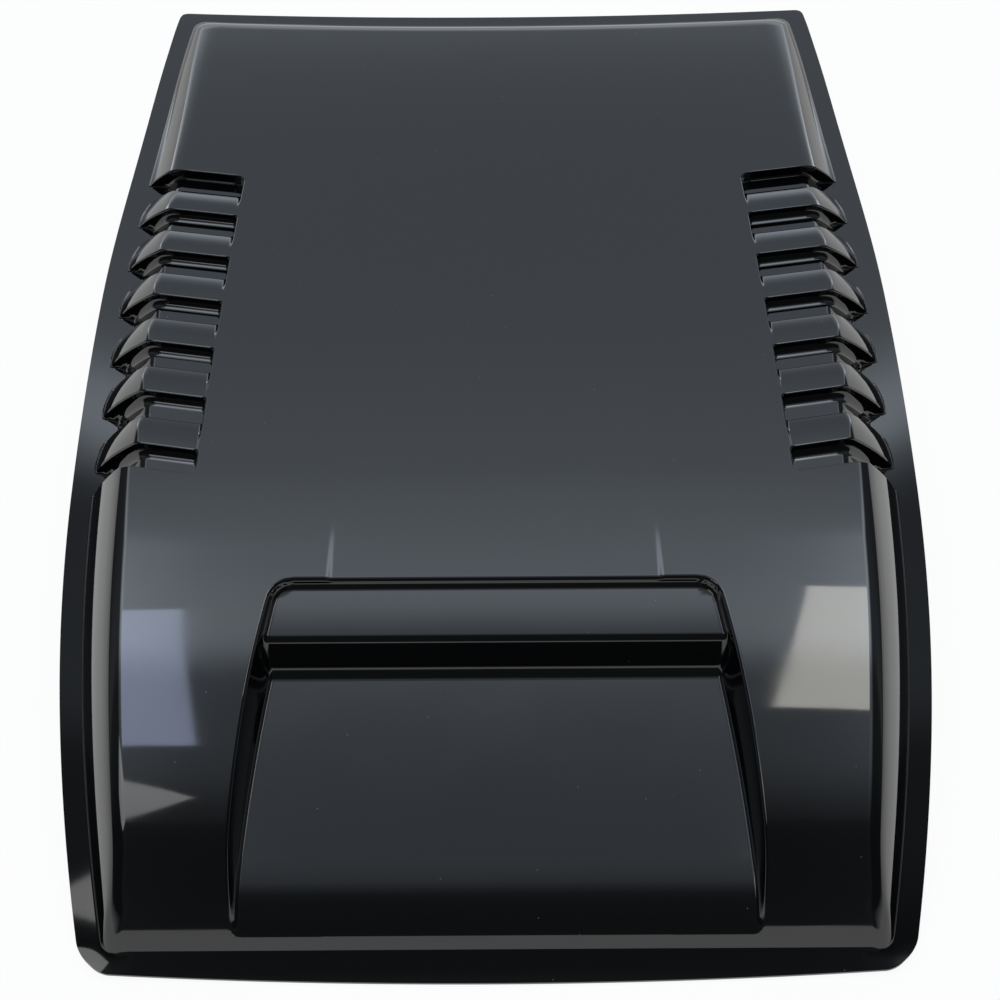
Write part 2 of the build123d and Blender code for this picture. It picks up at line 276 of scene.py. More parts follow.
@dataclass(frozen=True)
class RaisedBody:
    """Outer form of the raised body and of the flange round it."""

    line: BonnetLine = field(default_factory=BonnetLine)
    length: float = 1051.0
    width: float = 712.0
    half_length: float = 525.065
    widest_station: float = 410.0
    rear_side_radius: float = 5800.0
    front_side_radius: float = 2050.0
    front_bow: float = 9.0
    rear_bow: float = 11.0
    bow_half: float = 318.0
    flange_width: float = 18.5
    flange_droop: float = 6.0
    droop_start: float = 20.0
    droop_front: float = 4.0
    droop_front_run: float = 26.0
    droop_rear: float = 15.0
    droop_rear_run: float = 60.0
    front_corner_radius: float = 22.0
    rear_corner_radius: float = 8.0
    side_hollow: float = 3.5
    hollow_start: float = 620.0
    hollow_end: float = 1040.0
    shoulder_station: float = 390.0
    shoulder_rise: float = 57.0
    rear_rise: float = 7.0
    front_fall_radius: float = 1500.0
    brow_station: float = 95.0
    brow_radius: float = 92.0
    front_lean: float = 0.50
    rear_lean: float = 1.00
    wall_bulge: float = 0.4
    bulge_least_rise: float = 8.0
    bulge_limit: float = 1.2
    front_foot: float = 20.0
    front_wall_angle: float = 62.0
    rear_foot: float = 16.0
    rear_wall_angle: float = 50.0
    crease_front_half: float = 133.0
    crease_rear_half: float = 119.0
    crease_front_step: float = 1.2
    crease_rear_step: float = 0.1
    crease_fade: int = 2
    crease_front_run: float = 8.5
    crease_rear_run: float = 48.5
    crease_lead: float = 0.25
    crease_station: float = 286.5
    fold_round: float = 7.0
    front_corner_round: float = 9.5
    rear_round: float = 1.4
    rear_corner_round: float = 8.0
    foot_round: float = 1.4

    def rise(self, station: Array) -> Array:
        """Height of the top above the flange."""
        fall = (self.shoulder_rise - self.rear_rise) / (self.length - self.shoulder_station)
        height = self.shoulder_rise - fall * (station - self.shoulder_station)
        height = height - np.maximum(self.shoulder_station - station, 0.0) ** 2 / (2 * self.front_fall_radius)
        return height - np.maximum(self.brow_station - station, 0.0) ** 2 / (2 * self.brow_radius)

    def top(self, station: Array) -> Array:
        """Height of the top outside the middle panel."""
        return self.flange_top(station) + self.rise(station)

    def flange_top(self, station: Array) -> Array:
        """Height of the flange's upper face."""
        return self.line.height(station, self.line.sheet)

    def flange_half(self, station: Array) -> Array:
        """Half width of the outline."""
        reach = station - self.widest_station
        bend = np.where(reach > 0, self.rear_side_radius, self.front_side_radius)
        share = np.clip((station - self.hollow_start) / (self.hollow_end - self.hollow_start), 0.0, 1.0)
        return self.width / 2 - reach**2 / (2 * bend) - self.side_hollow * np.sin(math.pi * share) ** 2

    def foot_half(self, station: Array) -> Array:
        """Half width of the line where the side wall meets the flange."""
        return self.flange_half(station) - self.flange_width

    def lean(self, station: Array) -> Array:
        """Sideways run of the side wall for each unit of its height."""
        share = np.maximum(station - self.brow_station, 0.0) / (self.length - self.brow_station)
        return self.front_lean + self.rear_lean * share**2

    def crease_share(self, station: Array) -> Array:
        """How far along the creases a station lies, from 0 at the intake to 1 at the rear."""
        return np.clip((station - self.crease_station) / (self.length - self.crease_station), 0.0, 1.0)

    def crease_half(self, station: Array) -> Array:
        """Half width of the middle panel."""
        return blend(self.crease_front_half, self.crease_rear_half, self.crease_share(station))

    def crease_step(self, station: Array) -> Array:
        """Depth of the middle panel under the rest of the top."""
        fade = (1.0 - self.crease_share(station)) ** self.crease_fade
        return blend(self.crease_rear_step, self.crease_front_step, fade)

    def crease_run(self, station: Array) -> Array:
        """Width over which the crease is eased: narrow at the intake, wide at the rear."""
        return blend(self.crease_front_run, self.crease_rear_run, self.crease_share(station))

    def droop(self, x: Array, station: Array) -> Array:
        """How far the side flanges lie under the bonnet line: they tilt about the wall's foot."""
        front = smooth_step((station - self.droop_front) / self.droop_front_run)
        ends = front * smooth_step((self.length - self.droop_rear - station) / self.droop_rear_run)
        reach = np.maximum(x - self.foot_half(station), -self.droop_start)
        return reach * math.tan(math.radians(self.flange_droop)) * ends

    def bow(self, x: Array) -> Array:
        """Share of an end's bow at x: 0 at the middle, 1 at the corners."""
        return (x / self.bow_half) ** 2

    def side_wall(self, x: Array, station: Array, z: Array, inset: Array, more_lean: float = 0.0) -> Array:
        """Distance outside the leaning side wall, which bulges a little between foot and fold.

        Args:
            x: Distances from the middle plane, positive.
            station: Stations.
            z: Heights.
            inset: How far the wall is drawn in.
            more_lean: Lean added to the wall's own.

        Returns:
            Signed distances, positive outside.
        """
        lean, height = self.lean(station) + more_lean, z - self.flange_top(station)
        share = np.clip(height / np.maximum(self.rise(station), self.bulge_least_rise), 0.0, self.bulge_limit)
        run = lean * height * (1.0 - self.wall_bulge + self.wall_bulge * share)
        slope = lean * (1.0 - self.wall_bulge + 2.0 * self.wall_bulge * share)
        return (x - self.foot_half(station) + inset + run) / np.hypot(1.0, slope)

    def over(self, z: Array, station: Array, drop: Array) -> Array:
        """Distance of heights above a surface that runs parallel to the top, a drop under it."""
        return (z - self.top(station) + drop) / np.hypot(1.0, slope_of(self.top, station))

    def panel_drop(self, x: Array, station: Array) -> Array:
        """Drop of the middle panel, eased over the crease."""
        inward = (self.crease_half(station) - x) / self.crease_run(station)
        return self.crease_step(station) * smooth_step(inward + self.crease_lead)

    def field(self, x: Array, station: Array, z: Array) -> Array:
        """Distance outside the plain body, before anything is let into it.

        Args:
            x: Distances from the middle plane, positive.
            station: Stations.
            z: Heights.

        Returns:
            Signed distances.
        """
        top = self.over(z, station, self.panel_drop(x, station))
        angle = math.radians(self.front_wall_angle)
        foot = float(self.flange_top(np.array(self.front_foot)))
        front = (self.front_foot + (z - foot) / math.tan(angle) - station) * math.sin(angle)
        side = self.side_wall(x, station, z, 0.0)
        wall = outer_round(side, front, self.front_corner_round)
        angle = math.radians(self.rear_wall_angle)
        rear_line = self.length - self.rear_foot
        foot = float(self.flange_top(np.array(rear_line)))
        rear_line = rear_line - self.rear_bow * (1.0 - self.bow(x))
        rear = (station - rear_line + (z - foot) / math.tan(angle)) * math.sin(angle)
        corner = outer_round(side, rear, self.rear_corner_round)
        body = outer_round(top, np.maximum(wall, corner), self.fold_round)
        return outer_round(body, outer_round(corner, top, self.rear_round), self.rear_round)


@dataclass(frozen=True)
class IntakeRecess:
    """Closed intake: rear step, lip roof with a bull nose, back wall and ramp."""

    body: RaisedBody
    station: float = 286.5
    rear_half: float = 174.0
    mid_half: float = 199.0
    front_half: float = 216.0
    mid_share: float = 0.55
    front_end: float = -30.0
    rear_reach: float = 40.0
    corner_radius: float = 14.0
    draft: float = 8.5
    lip_length: float = 46.0
    lip_step: float = 8.0
    lip_front_step: float = 11.0
    lip_nose_round: float = 3.7
    back_draft: float = 17.0
    ramp_angle: float = 9.6
    ramp_bend_station: float = 80.0
    ramp_bend_height: float = 46.5
    ramp_bend_radius: float = 133.0
    trough_round: float = 5.5
    floor_round: float = 4.3
    rim_round: float = 3.4
    search_below: float = 5.0
    search_above: float = 30.0

    @property
    def level(self) -> float:
        """Height at which the plan widths are given."""
        return float(self.body.top(np.array(self.station)))

    @property
    def brink(self) -> float:
        """Station of the lip's front edge."""
        return self.station - self.lip_length

    @property
    def toe(self) -> float:
        """Station where the back wall meets the ramp."""
        edge, toe = float(self.roof(np.array(self.brink))), self.brink
        for _ in range(TOE_ROUNDS):
            toe = self.brink - (edge - float(self.ramp(np.array(toe)))) * math.tan(math.radians(self.back_draft))
        return toe

    def plan_half(self, station: Array) -> Array:
        """Half width of the recess at the level of its rear rim."""
        a, b, c = self.station, self.station * self.mid_share, self.front_end
        s = np.clip(station, c, a + self.rear_reach)
        first = (s - b) * (s - c) / ((a - b) * (a - c)) * self.rear_half
        second = (s - a) * (s - c) / ((b - a) * (b - c)) * self.mid_half
        return first + second + (s - a) * (s - b) / ((c - a) * (c - b)) * self.front_half

    def half(self, station: Array, z: Array) -> Array:
        """Half width of the recess at a height, with the draft of its sides."""
        return self.plan_half(station) + (z - self.level) * math.tan(math.radians(self.draft))

    def ramp(self, station: Array) -> Array:
        """Height of the ramp: straight, then bent down to the front wall."""
        reach = station - self.ramp_bend_station
        bend = np.maximum(-reach, 0.0) ** 2 / (2 * self.ramp_bend_radius)
        return self.ramp_bend_height + reach * math.tan(math.radians(self.ramp_angle)) - bend

    def roof(self, station: Array) -> Array:
        """Height of the lip's roof."""
        share = (self.station - station) / self.lip_length
        return self.body.top(station) - self.lip_step - (self.lip_front_step - self.lip_step) * share

    def pan(self, station: Array, z: Array) -> Array:
        """Distance above the recess's side-view line.

        Args:
            station: Stations.
            z: Heights.

        Returns:
            Signed distances, positive in the open.
        """
        tilt = math.radians(self.back_draft)
        edge = float(self.roof(np.array(self.brink)))
        roof = (z - self.roof(station)) / np.hypot(1.0, slope_of(self.roof, station))
        wall = (self.brink - (edge - z) * math.tan(tilt) - station) * math.cos(tilt)
        lip = outer_round(roof, wall, self.lip_nose_round)
        ramp = (z - self.ramp(station)) / np.hypot(1.0, slope_of(self.ramp, station))
        return hollow_round(lip, ramp, self.trough_round)

    def field(self, x: Array, station: Array, z: Array) -> Array:
        """Distance outside the open space of the recess.

        Args:
            x: Distances from the middle plane, positive.
            station: Stations.
            z: Heights.

        Returns:
            Signed distances, negative in the open.
        """
        tilt = math.radians(self.draft)
        side = (x - self.half(station, z)) * math.cos(tilt)
        rear = (station - self.station - (z - self.level) * math.tan(tilt)) * math.cos(tilt)
        plan = outer_round(side, rear, self.corner_radius)
        return outer_round(plan, -self.pan(station, z), self.floor_round)

    def floor_height(self, station: Array) -> Array:
        """Height of the recess's side-view line at each station."""
        low, high = self.ramp(station) - self.search_below, self.body.top(station) + self.search_above
        return halve(lambda mid: self.pan(station, mid) < 0, low, high, FLOOR_HALVINGS)


@dataclass(frozen=True)
class LouvreBank:
    """Seven swept trenches with six blades between them, let into each shoulder."""

    body: RaisedBody
    count: int = 7
    station: float = 764.0
    pitch: float = 57.0
    sweep: float = 9.7
    fold_half: float = 300.0
    kink_half: float = 225.0
    trench_length: float = 24.0
    trench_depth: float = 11.5
    trench_inset: float = 16.0
    blade_drop: float = 6.0
    blade_front_drop: float = 0.5
    blade_inset: float = 6.0
    more_lean: float = 0.18
    rear_half: float = 229.5
    front_half: float = 244.0
    bank_overrun: float = 0.05
    blade_overrun: float = 0.2
    blade_fold_round: float = 2.6
    trench_fold_round: float = 2.7
    edge_round: float = 1.8
    hollow_edge_round: float = 2.4
    riser_round: float = 8.0
    end_hollow_round: float = 3.2
    end_round: float = 8.0

    @property
    def length(self) -> float:
        """Distance from the first step to the front end of the last trench."""
        return (self.count - 1) * self.pitch + self.trench_length

    @property
    def slant(self) -> float:
        """Rearward run of the swept lines for each unit outwards."""
        return math.tan(math.radians(self.sweep))

    @property
    def square(self) -> float:
        """Distance square to the swept lines for each unit along the car."""
        return math.cos(math.radians(self.sweep))

    def offset(self, x: Array, station: Array) -> Array:
        """Distance ahead of the first step, along the car."""
        return self.station - station + (x - self.fold_half) * self.slant

    def inner_half(self, offset: Array) -> Array:
        """Half width of the louvres' inner ends."""
        share = np.clip(offset / self.length, -self.bank_overrun, 1.0 + self.bank_overrun)
        return blend(self.rear_half, self.front_half, share)

    def blade_share(self, offset: Array) -> tuple[Array, Array]:
        """Index of the cell at an offset, and how far back on its blade the offset lies, squared."""
        index = np.clip(np.floor(offset / self.pitch), 0, self.count - 1)
        front = (index + 1) * self.pitch
        share = np.clip((front - offset) / (self.pitch - self.trench_length), 0.0, 1.0) ** 2
        return index, share

    def blade(self, x: Array, station: Array, z: Array, index: Array) -> Array:
        """Distance outside one blade.

        Args:
            x: Distances from the middle plane, positive.
            station: Stations.
            z: Heights.
            index: Number of the blade, counted from the rear.

        Returns:
            Signed distances.
        """
        offset = self.offset(x, station)
        rear, front = index * self.pitch + self.trench_length, (index + 1) * self.pitch
        share = np.clip((front - offset) / (front - rear), -self.blade_overrun, 1.0 + self.blade_overrun)
        share = np.sign(share) * share**2
        drop = blend(self.blade_front_drop, self.blade_drop, share)
        top = self.body.over(z, station, drop)
        side = self.body.side_wall(x, station, z, self.blade_inset * share, self.more_lean)
        form = outer_round(top, side, self.blade_fold_round)
        form = outer_round(form, (rear - offset) * self.square, self.edge_round)
        form = outer_round(form, (offset - front) * self.square, self.edge_round)
        return np.where((index < 0) | (index > self.count - 2), FAR, form)

    def field(self, x: Array, station: Array, z: Array) -> Array:
        """Distance into the space that the bank takes out of the body.

        Args:
            x: Distances from the middle plane, positive.
            station: Stations.
            z: Heights.

        Returns:
            Signed distances, positive in the open.
        """
        offset = self.offset(x, station)
        top = self.body.over(z, station, self.trench_depth)
        side = self.body.side_wall(x, station, z, self.trench_inset, self.more_lean)
        cells = outer_round(top, side, self.trench_fold_round)
        index = np.floor(offset / self.pitch)
        for shift, reach in ((-1.0, self.riser_round), (0.0, self.hollow_edge_round)):
            cells = hollow_round(cells, self.blade(x, station, z, index + shift), reach)
        region = outer_round(self.inner_half(offset) - x, -offset * self.square, self.end_round)
        region = outer_round(region, (offset - self.length) * self.square, self.end_round)
        return hollow_round(-region, cells, self.end_hollow_round)


@dataclass(frozen=True)
class RowLine:
    """One line of mesh points across the sheet."""

    station: float
    swept: float = 0.0
    rear_bow: float = 0.0
    front_bow: float = 0.0


@dataclass
class SheetSkin:
    """The moulded sheet: its outer skin, its underside and the trimmed edge."""

    body: RaisedBody = field(default_factory=RaisedBody)
    edge_bevel: float = 0.5
    search_below: float = 12.0
    search_above: float = 8.0
    normal_step: float = 0.04
    astray_limit: float = 0.05
    bank_front: float = 3.0
    bank_rear: float = 4.5
    sweep_end_run: float = 150.0
    bow_start: float = 800.0
    bow_run: float = 205.0
    trench_ease: float = 8.0
    least_wall: float = 3.0
    recess_start: float = 5.0
    floor_gap: float = 1.0
    rim_gap: float = 0.6
    wall_full_run: float = 14.0
    toe_reach: float = 3.2
    toe_share: float = 0.3

    def __post_init__(self) -> None:
        """Set the intake and the louvres into the body."""
        self.intake = IntakeRecess(self.body)
        self.louvres = LouvreBank(self.body)

    def field(self, x: Array, station: Array, z: Array) -> Array:
        """Distance outside the sheet's outer skin.

        Args:
            x: Distances from the middle plane, either side.
            station: Stations.
            z: Heights.

        Returns:
            Signed distances, negative under the skin.
        """
        side = np.abs(x)
        form = self.body.field(side, station, z)
        form = outer_round(form, -self.intake.field(side, station, z), self.intake.rim_round)
        form = outer_round(form, self.louvres.field(side, station, z), self.louvres.edge_round)
        flange = self.body.line.gap(station, z) - self.body.line.sheet + self.body.droop(side, station)
        return hollow_round(flange, form, self.body.foot_round)

    def height(self, x: Array, station: Array, depth: float) -> Array:
        """Height of the surface that lies at a depth under the outer skin.

        Args:
            x: Distances from the middle plane.
            station: Stations.
            depth: Distance under the skin.

        Returns:
            Heights.
        """
        base = self.body.flange_top(station)
        low = base - self.search_below
        high = base + np.maximum(self.body.rise(station), 0.0) + self.search_above
        return halve(lambda mid: self.field(x, station, mid) < -depth, low, high, SKIN_HALVINGS)

    def normals(self, points: Array) -> Array:
        """Unit normals of the skin's distance field.

        Args:
            points: Rows of x, station and height.

        Returns:
            Rows of unit vectors.
        """
        moves = np.eye(3) * self.normal_step
        parts = [self.field(*(points + move).T) - self.field(*(points - move).T) for move in moves]
        slope = np.stack(parts, axis=1)
        return slope / np.maximum(np.linalg.norm(slope, axis=1, keepdims=True), 1e-9)

    def rows(self) -> list[RowLine]:
        """Lines of mesh points from the front edge to the rear edge."""
        intake, bank = self.intake, self.louvres
        lines = [RowLine(s, front_bow=bow) for s, bow in FRONT_FLANGE_ROWS]
        marks = ((0.0, FRONT_ROWS), (intake.toe, TOE_ROWS), (intake.brink, BRINK_ROWS), (intake.station, RIM_ROWS))
        lines += [RowLine(start + s) for start, rows in marks for s in rows]
        rim, first = lines[-1].station, self.louvre_row(bank.length + self.bank_front).station
        lines += [RowLine(s, swept=eased(s, rim, first - rim)) for s in BRIDGE_ROWS]
        lines += [self.louvre_row(offset) for offset in self.louvre_offsets()]
        last = lines[-1].station
        for s in REAR_ROWS:
            swept = 1.0 - eased(s, last, self.sweep_end_run)
            lines.append(RowLine(s, swept=swept, rear_bow=eased(s, self.bow_start, self.bow_run)))
        return lines

    def louvre_row(self, offset: float) -> RowLine:
        """Line of mesh points along a swept louvre line."""
        bank = self.louvres
        return RowLine(bank.station - offset + (bank.kink_half - bank.fold_half) * bank.slant, swept=1.0)

    def louvre_offsets(self) -> list[float]:
        """Offsets of the swept lines, from the front end of the bank to its rear end."""
        bank = self.louvres
        offsets = [bank.length + self.bank_front]
        for k in reversed(range(bank.count)):
            low, high = k * bank.pitch, k * bank.pitch + bank.trench_length
            offsets += [high + d for d in reversed(RISER_ROWS)]
            offsets += [low + bank.trench_length * share for share in TRENCH_SHARES]
            offsets += [low + d for d in reversed(STEP_ROWS)]
            if k > 0:
                start, end = low + STEP_ROWS[0], low - bank.pitch + bank.trench_length + RISER_ROWS[-1]
                offsets += [blend(start, end, share) for share in BLADE_SHARES]
        return offsets + [-self.bank_rear]

    def grid(self) -> tuple[Array, Array]:
        """Plan positions of the mesh points on one side.

        Returns:
            x and station of every point, as arrays of rows by columns.
        """
        body, intake, bank = self.body, self.intake, self.louvres
        middle, swept, rear_bow, front_bow = np.array([astuple(row) for row in self.rows()]).T

        def station(x: Array) -> Array:
            """Stations of the row lines at x."""
            slide = swept * np.maximum(x - bank.kink_half, 0.0) * bank.slant
            bows = body.front_bow * front_bow * body.bow(x) - body.rear_bow * rear_bow * (1.0 - body.bow(x))
            return middle + slide + bows

        at_fold = station(bank.fold_half)
        offset = bank.offset(bank.fold_half, at_fold)
        index, share = bank.blade_share(offset)
        along = offset - index * bank.pitch
        in_trench = along < bank.trench_length
        last = np.where(index > bank.count - 1.5, 0.0, 1.0)
        part = np.clip(along / bank.trench_length, 0.0, 1.0) * last
        sunk = smooth_step(along / self.trench_ease) * smooth_step((bank.trench_length - along) / self.trench_ease)
        inside = (offset > 0.0) & (offset < bank.length) & (swept > FULL_SWEEP)
        depths = (
            (0.0, bank.blade_inset, bank.trench_inset),
            (bank.blade_front_drop, bank.blade_drop, bank.trench_depth),
        )
        inset, drop = (
            np.where(inside, np.where(in_trench, blend(rear * part, trench, sunk), blend(front, rear, share)), 0.0)
            for front, rear, trench in depths
        )

        edge = body.flange_half(at_fold)
        for _ in range(OUTLINE_ROUNDS):
            edge = body.flange_half(station(edge))
        foot = edge - body.flange_width
        for _ in range(OUTLINE_ROUNDS):
            foot = body.foot_half(station(foot)) - inset
        outer = station(foot)
        tall = np.maximum(body.rise(outer) - drop, self.least_wall)
        fold = foot - (body.lean(outer) + np.where(inside, bank.more_lean, 0.0)) * tall
        crease = body.crease_half(middle)
        held = np.clip(middle, self.recess_start, intake.station)
        rim = intake.half(held, body.top(held))
        pan = np.minimum(intake.floor_height(held), body.top(held) - self.floor_gap)
        base = intake.half(held, pan)
        inner = bank.inner_half(np.clip(offset, 0.0, bank.length))

        ease = body.crease_run(middle)
        panel = crease + ease * CREASE_SHARES[0]
        columns: list[Array] = [panel * share for share in PANEL_SHARES]
        columns += [crease + ease * share for share in CREASE_SHARES]
        groups = (
            (3, base, RECESS_FLOOR_COLUMNS),
            (0, np.maximum(rim, base + self.rim_gap), RECESS_RIM_COLUMNS),
            (2, inner, LOUVRE_END_COLUMNS),
            (6, fold, FOLD_COLUMNS),
        )
        for between, line, spacing in groups:
            self.fill(columns, line + spacing[0], between)
            columns += [line + d for d in spacing]
        run = foot - fold
        columns += [fold + np.minimum(d, run * d / self.wall_full_run) for d in WALL_COLUMNS]
        toe = foot - np.minimum(self.toe_reach, run * self.toe_share)
        self.fill(columns, toe, 4)
        columns += [blend(toe, foot, share) for share in TOE_SHARES]
        columns += [foot + d for d in FOOT_COLUMNS]
        self.fill(columns, edge - self.edge_bevel, 3)
        columns += [edge - self.edge_bevel, edge]
        x = np.stack(columns, axis=1)
        stations = np.stack([station(column) for column in columns], axis=1)
        return self.round_corners(x, stations)

    @staticmethod
    def fill(columns: list[Array], last: Array, count: int) -> None:
        """Add evenly spaced columns between the last column so far and a line."""
        first = columns[-1]
        columns += [first + (last - first) * (i + 1) / (count + 1) for i in range(count)]

    def round_corners(self, x: Array, station: Array) -> tuple[Array, Array]:
        """Draw the four plan corners of the sheet in to their radius.

        Args:
            x: Distances from the middle plane, rows by columns.
            station: Stations, rows by columns.

        Returns:
            The moved x and stations.
        """
        side = x[:, -1:] - x
        ends = (
            (station[:1, :], 1.0, self.body.front_corner_radius),
            (station[-1:, :], -1.0, self.body.rear_corner_radius),
        )
        for end, sign, radius in ends:
            along = (station - end) * sign
            p, q = np.clip(1 - side / radius, 0, 1), np.clip(1 - along / radius, 0, 1)
            new_side = radius * (1 - p * np.sqrt(1 - q * q / 2))
            new_along = radius * (1 - q * np.sqrt(1 - p * p / 2))
            near = (p > 0) & (q > 0)
            x = np.where(near, x + side - new_side, x)
            station = np.where(near, end + sign * new_along, station)
        return x, station

    def build(self, finish: GlossSheet) -> Object:
        """Make the sheet's mesh object.

        Args:
            finish: Finish of the sheet.

        Returns:
            The finished object, at the origin.
        """
        half_x, half_s = self.grid()
        x = np.concatenate([-half_x[:, :0:-1], half_x], axis=1)
        s = np.concatenate([half_s[:, :0:-1], half_s], axis=1)
        z = self.height(x, s, 0.0)
        under = self.height(x, s, self.body.line.sheet)
        edge = np.ones(x.shape, bool)
        edge[1:-1, 1:-1] = False
        z = np.where(edge, z - self.edge_bevel, z)
        rows, columns = x.shape
        points = np.stack([x, s - self.body.half_length, z], axis=-1).reshape(-1, 3) * METRE
        index = np.arange(rows * columns).reshape(rows, columns)
        faces = np.stack([index[:-1, :-1], index[:-1, 1:], index[1:, 1:], index[1:, :-1]], axis=-1).reshape(-1, 4)
        mesh = bpy.data.meshes.new("scoop_skin")
        mesh.from_pydata(points.tolist(), [], faces.tolist())
        drop = np.zeros((rows * columns, 3), np.float32)
        drop[:, 2] = ((under - z) * METRE).reshape(-1)
        wall = mesh.attributes.new("wall_drop", "FLOAT_VECTOR", "POINT")
        wall.data.foreach_set("vector", drop.ravel())
        sheet = SheetWall(finish.material()).bake(add_object("scoop_skin", mesh), "scoop_sheet")
        self.set_normals(sheet.data)
        return sheet

    def set_normals(self, mesh: Mesh) -> None:
        """Give the sheet's corners the normals of its distance field, and its trimmed edge flat ones."""
        points = fetch(mesh.vertices, "co", 3) / METRE
        points[:, 1] += self.body.half_length
        total = fetch(mesh.polygons, "loop_total", kind=np.int32)
        flat = np.repeat(fetch(mesh.polygons, "normal", 3), total, axis=0)
        part = np.repeat(fetch(mesh.attributes["sheet_part"].data, "value", kind=np.int32), total)
        corner = self.normals(points)[fetch(mesh.loops, "vertex_index", kind=np.int32)]
        corner = np.where((part == SheetPart.UNDERSIDE.value)[:, None], -corner, corner)
        astray = np.sum(corner * flat, axis=1) < self.astray_limit
        use_flat = (part == SheetPart.EDGE.value) | astray
        corner = np.where(use_flat[:, None], flat, corner)
        mesh.polygons.foreach_set("use_smooth", np.ones(len(mesh.polygons), bool))
        mesh.normals_split_custom_set(corner.tolist())


class SheetPart(Enum):
    """Part of the sheet that a face belongs to."""

    SKIN = 0
    UNDERSIDE = 1
    EDGE = 2


@dataclass
class SheetWall:
    """Node tree that gives a skin its underside and its trimmed edge."""

    material: Material
    gauge_share: float = 1.0
    weld: float = 0.00002

    @property
    def inputs(self) -> dict[str, float]:
        """Values of the tree's inputs."""
        return {"Gauge Share": self.gauge_share, "Weld Distance": self.weld}

    def tree(self) -> NodeTree:
        """Build the node tree.

        Returns:
            The tree, with inputs for the share of the gauge and the weld distance.
        """
        tree = bpy.data.node_groups.new("sheet_wall", "GeometryNodeTree")
        face = tree.interface
        face.new_socket("Geometry", in_out="INPUT", socket_type="NodeSocketGeometry")
        for name, value in self.inputs.items():
            face.new_socket(name, in_out="INPUT", socket_type="NodeSocketFloat").default_value = value
        face.new_socket("Geometry", in_out="OUTPUT", socket_type="NodeSocketGeometry")
        given = tree.nodes.new("NodeGroupInput").outputs

        drop = add_node(tree, "GeometryNodeInputNamedAttribute", {"Name": "wall_drop"}, data_type="FLOAT_VECTOR")
        scale = {0: drop.outputs["Attribute"], "Scale": given["Gauge Share"]}
        offset = add_node(tree, "ShaderNodeVectorMath", scale, operation="SCALE").outputs["Vector"]
        skin = self.mark(tree, given["Geometry"], SheetPart.SKIN)
        lowered = add_node(tree, "GeometryNodeSetPosition", {"Geometry": skin, "Offset": offset})
        turned = add_node(tree, "GeometryNodeFlipFaces", {"Mesh": lowered.outputs["Geometry"]})
        underside = self.mark(tree, turned.outputs["Mesh"], SheetPart.UNDERSIDE)

        rim = tree.nodes.new("GeometryNodeInputMeshEdgeNeighbors").outputs["Face Count"]
        alone = add_node(tree, "FunctionNodeCompare", {"A": rim, "B": 1}, data_type="INT", operation="EQUAL")
        pull = {"Mesh": skin, "Selection": alone.outputs["Result"], "Offset": offset, "Offset Scale": 1.0}
        wall = add_node(tree, "GeometryNodeExtrudeMesh", pull, mode="EDGES")
        edged = self.mark(tree, wall.outputs["Mesh"], SheetPart.EDGE, wall.outputs["Side"])

        joined = add_node(tree, "GeometryNodeJoinGeometry", {"Geometry": edged})
        tree.links.new(underside, joined.inputs["Geometry"])
        steps = (
            ("GeometryNodeMergeByDistance", {"Distance": given["Weld Distance"]}),
            ("GeometryNodeRealizeInstances", {}),
            ("GeometryNodeSetMaterial", {"Material": self.material}),
        )
        flow = joined.outputs["Geometry"]
        for kind, inputs in steps:
            flow = add_node(tree, kind, {"Geometry": flow, **inputs}).outputs["Geometry"]
        add_node(tree, "NodeGroupOutput", {"Geometry": flow})
        return tree

    @staticmethod
    def mark(tree: NodeTree, source: NodeSocket, part: SheetPart, selection: NodeSocket | None = None) -> NodeSocket:
        """Store on faces which part of the sheet they are.

        Args:
            tree: Node tree to add to.
            source: Geometry socket to mark.
            part: Part of the sheet.
            selection: Faces to mark, or all of them.

        Returns:
            The marked geometry's socket.
        """
        inputs = {"Geometry": source, "Name": "sheet_part", "Value": part.value}
        if selection is not None:
            inputs["Selection"] = selection
        store = add_node(tree, "GeometryNodeStoreNamedAttribute", inputs, data_type="INT", domain="FACE")
        return store.outputs["Geometry"]

    def bake(self, skin: Object, name: str) -> Object:
        """Turn a skin into a plain mesh object with its wall.

        Args:
            skin: Object that holds the outer skin; it is removed.
            name: Name of the new object.

        Returns:
            The new object.
        """
        tree = self.tree()
        modifier = skin.modifiers.new("sheet_wall", "NODES")
        modifier.node_group = tree
        for item in tree.interface.items_tree:
            if item.item_type == "SOCKET" and item.in_out == "INPUT" and item.name in self.inputs:
                modifier[item.identifier] = self.inputs[item.name]
        evaluated = skin.evaluated_get(bpy.context.evaluated_depsgraph_get())
        mesh = bpy.data.meshes.new_from_object(evaluated)
        mesh.name = name
        skin.modifiers.remove(modifier)
        bpy.data.objects.remove(skin)
        return add_object(name, mesh)


